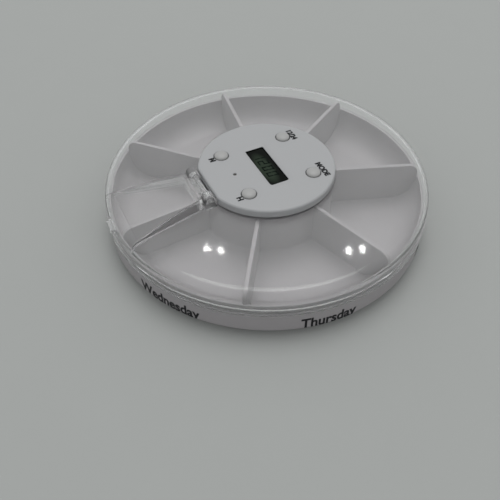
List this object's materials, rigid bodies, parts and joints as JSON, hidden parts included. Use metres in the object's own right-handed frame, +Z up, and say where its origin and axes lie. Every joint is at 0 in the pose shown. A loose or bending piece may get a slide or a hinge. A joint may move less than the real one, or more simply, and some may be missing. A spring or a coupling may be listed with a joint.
{
  "type": "weekly pill dispenser with timer",
  "caption": "Round pill organiser with radial compartments, a clear turning cover with a hinged flap, and a digital reminder timer in its hub.",
  "frame": {"origin": "centre of the base, on the surface it stands on", "axes": "+Z up; -Y towards the cover's flap; +X to the right for someone reading the display"},
  "size_m": [0.13, 0.131, 0.0272],
  "materials": {
    "white_plastic": "moulded, slightly glossy",
    "clear_plastic": "clear polystyrene, glossy",
    "timer_white": "fine satin",
    "button_white": "satin",
    "display_glass": "polished, grey-green liquid crystal",
    "rubber": "matt",
    "board_green": "solder resist",
    "black_epoxy": "matt",
    "steel": "plated",
    "spring_steel": "plated spring strip",
    "brass": "bright",
    "ceramic": "silvered ceramic",
    "cream_plastic": "satin"
  },
  "bodies": {
    "tray": {"tray": "white_plastic"},
    "cover": {"cover": "clear_plastic"},
    "flap": {"flap": "clear_plastic"},
    "timer": {"timer_front_case": "timer_white", "timer_back_case": "timer_white", "lcd_glass": "display_glass", "zebra_connector": "rubber", "circuit_board": "board_green", "chip_cover": "black_epoxy", "crystal_can": "steel", "buzzer_plate": "brass", "buzzer_ceramic": "ceramic", "battery_cell": "steel", "contact_negative": "spring_steel", "contact_positive": "spring_steel", "case_screw_1": "steel", "case_screw_2": "steel", "case_screw_3": "steel", "board_screw_1": "steel", "board_screw_2": "steel", "switch_12_24": "black_epoxy", "switch_mode": "black_epoxy", "switch_minute": "black_epoxy", "switch_hour": "black_epoxy"},
    "battery_door": {"battery_door": "timer_white"},
    "button_12_24": {"button_12_24": "button_white", "plunger_12_24": "cream_plastic"},
    "button_mode": {"button_mode": "button_white", "plunger_mode": "cream_plastic"},
    "button_minute": {"button_minute": "button_white", "plunger_minute": "cream_plastic"},
    "button_hour": {"button_hour": "button_white", "plunger_hour": "cream_plastic"}
  },
  "joints": [
    {"name": "cover_turn", "type": "hinge", "parent": "tray", "child": "cover", "pos_m": [0, 0, 0.0118], "axis": [0, 0, 1], "continuous": true},
    {"name": "flap_hinge", "type": "hinge", "parent": "cover", "child": "flap", "pos_m": [0, -0.0283, 0.025], "axis": [-1, 0, 0], "range_deg": [0, 95]},
    {"name": "timer_lift", "type": "slide", "parent": "cover", "child": "timer", "axis": [0, 0, 1], "range_m": [0, 0.02]},
    {"name": "battery_door_turn", "type": "hinge", "parent": "timer", "child": "battery_door", "pos_m": [0, 0, 0.009], "axis": [0, 0, -1], "range_deg": [0, 35]},
    {"name": "press_12_24", "type": "slide", "parent": "timer", "child": "button_12_24", "axis": [0, 0, -1], "range_m": [0, 0.0005], "stiffness_N_per_m": 300, "springref_m": -0.0004},
    {"name": "press_mode", "type": "slide", "parent": "timer", "child": "button_mode", "axis": [0, 0, -1], "range_m": [0, 0.0005], "stiffness_N_per_m": 300, "springref_m": -0.0004},
    {"name": "press_minute", "type": "slide", "parent": "timer", "child": "button_minute", "axis": [0, 0, -1], "range_m": [0, 0.0005], "stiffness_N_per_m": 300, "springref_m": -0.0004},
    {"name": "press_hour", "type": "slide", "parent": "timer", "child": "button_hour", "axis": [0, 0, -1], "range_m": [0, 0.0005], "stiffness_N_per_m": 300, "springref_m": -0.0004}
  ]
}
